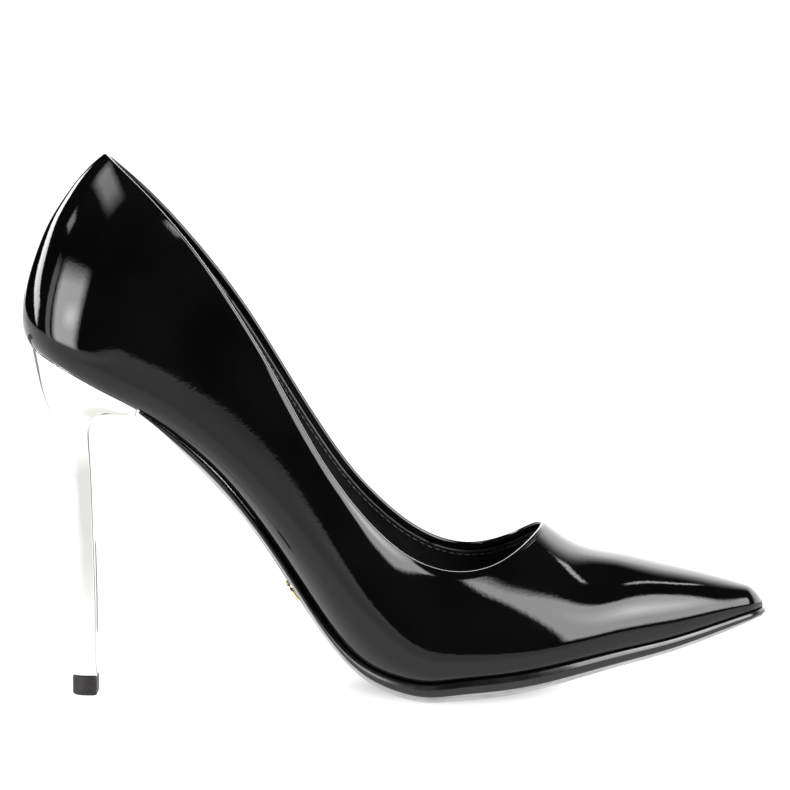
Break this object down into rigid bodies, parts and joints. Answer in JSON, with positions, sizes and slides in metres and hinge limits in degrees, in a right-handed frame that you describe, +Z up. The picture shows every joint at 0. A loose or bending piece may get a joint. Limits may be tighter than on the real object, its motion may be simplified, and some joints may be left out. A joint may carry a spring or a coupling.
{
  "type": "high heel pump",
  "caption": "Pointed-toe court shoe with a slim stiletto heel: one-piece patent upper with linings, insole board, shank and curved sole, plated heel and a pull-off heel tip",
  "frame": {"origin": "middle of the shoe's length and width, on the ground it stands on", "axes": "+X points forward to the toe, +Y to the inner (medial) side of the foot, +Z up"},
  "size_m": [0.2284, 0.0769, 0.1678],
  "materials": {
    "patent": "black patent leather, mirror gloss",
    "lining": "black smooth lining, satin",
    "stiffener": "pressed fibreboard, matt",
    "textile": "woven tape and felt, matt",
    "foam": "latex foam, matt",
    "sole": "black leather sole, polished",
    "plating": "mirror plating over moulded plastic",
    "steel": "plain steel",
    "stud": "pale gold, polished",
    "tip": "dense black polyurethane, satin"
  },
  "bodies": {
    "shoe": {"upper": "patent", "toe_puff": "stiffener", "heel_counter": "stiffener", "topline_tape": "textile", "vamp_lining": "lining", "quarter_lining_lateral": "lining", "quarter_lining_medial": "lining", "heel_grip": "lining", "insole_board": "stiffener", "rear_board": "stiffener", "heel_pad": "foam", "insock": "lining", "steel_shank": "steel", "forefoot_filler": "textile", "outsole": "sole", "brass_stud": "stud", "heel": "plating", "heel_tube": "steel", "heel_screw": "steel", "heel_nail_1": "steel", "heel_nail_2": "steel", "heel_nail_3": "steel", "heel_nail_4": "steel", "shank_rivet_rear": "steel", "shank_rivet_front": "steel"},
    "heel_tip": {"top_piece": "tip", "top_piece_pin": "steel"}
  },
  "joints": [
    {"name": "heel_tip_pull", "type": "slide", "parent": "shoe", "child": "heel_tip", "axis": [0.0257, 0, -0.9997], "range_m": [0, 0.02]}
  ]
}
